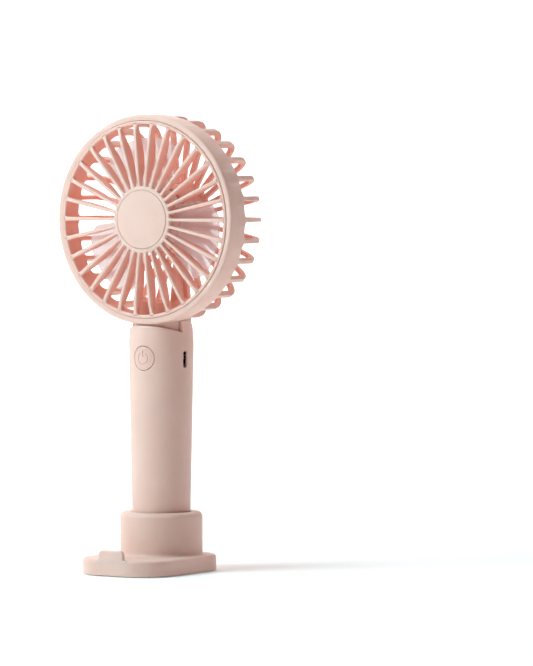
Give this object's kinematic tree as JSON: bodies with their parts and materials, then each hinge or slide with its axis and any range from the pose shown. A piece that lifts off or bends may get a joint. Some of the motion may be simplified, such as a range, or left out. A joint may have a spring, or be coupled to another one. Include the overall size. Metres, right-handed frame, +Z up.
{
  "type": "handheld electric fan",
  "caption": "Battery handheld fan with a round caged head, radial-spoke grille and tapered handle, standing in a desk base with a phone lip.",
  "frame": {"origin": "on the handle's axis, at the underside of the stand's anti-slip pad", "axes": "+Z up along the handle, -Y the way the grille faces, +X to the right seen from the front, towards the charging port"},
  "size_m": [0.1024, 0.0676, 0.2238],
  "materials": {
    "pink_plastic": "fine matte moulded ABS, pale peach pink",
    "pad_rubber": "matte silicone pad",
    "blade_plastic": "translucent pale grey polypropylene",
    "white_nylon": "natural moulded nylon",
    "cell_wrap": null,
    "nickel": "nickel strip",
    "board_laminate": "solder-masked laminate",
    "steel": "plated steel",
    "black_resin": "black moulded resin",
    "ferrite": "sintered ferrite",
    "lamination": "stacked electrical steel",
    "copper": "enamelled copper",
    "brass": "brass and sintered bronze",
    "wire_red": "red wire insulation",
    "wire_black": "black wire insulation"
  },
  "bodies": {
    "stand": {"base_stand": "pink_plastic", "base_cover": "pink_plastic", "anti_slip_pad": "pad_rubber", "base_screw_1": "steel", "base_screw_2": "steel", "base_screw_3": "steel", "base_screw_4": "steel"},
    "fan_body": {"handle_sleeve": "pink_plastic", "handle_bottom_cap": "pink_plastic", "head_housing": "pink_plastic", "front_grille": "pink_plastic", "grille_badge": "pink_plastic", "rear_cap": "pink_plastic", "motor_retainer": "pink_plastic", "battery_tray": "white_nylon", "motor_end_cap": "white_nylon", "battery_cell": "cell_wrap", "battery_positive_strip": "nickel", "battery_negative_strip": "nickel", "circuit_board": "board_laminate", "usb_c_shell": "steel", "motor_can": "steel", "retainer_screw_1": "steel", "retainer_screw_2": "steel", "retainer_screw_3": "steel", "usb_c_tongue": "black_resin", "tact_switch": "black_resin", "charge_controller": "black_resin", "boost_inductor": "ferrite", "motor_magnet_upper": "ferrite", "motor_magnet_lower": "ferrite", "motor_brush_left": "copper", "motor_brush_right": "copper", "motor_bush_front": "brass", "motor_bush_rear": "brass", "motor_terminal_positive": "brass", "motor_terminal_negative": "brass", "motor_wire_red": "wire_red", "motor_wire_black": "wire_black"},
    "button": {"power_button": "pink_plastic", "switch_plunger": "black_resin"},
    "rotor": {"impeller": "blade_plastic", "motor_shaft": "steel", "armature_core": "lamination", "armature_coil_1": "copper", "armature_coil_2": "copper", "armature_coil_3": "copper", "commutator": "copper"}
  },
  "joints": [
    {"name": "fan_lift", "type": "slide", "parent": "stand", "child": "fan_body", "axis": [0, 0, 1], "range_m": [0, 0.03]},
    {"name": "impeller_spin", "type": "hinge", "parent": "fan_body", "child": "rotor", "pos_m": [0, 0, 0.17256], "axis": [0, 1, 0], "continuous": true},
    {"name": "power_button_press", "type": "slide", "parent": "fan_body", "child": "button", "axis": [0, 1, 0], "range_m": [0, 0.0005], "stiffness_N_per_m": 1500}
  ]
}
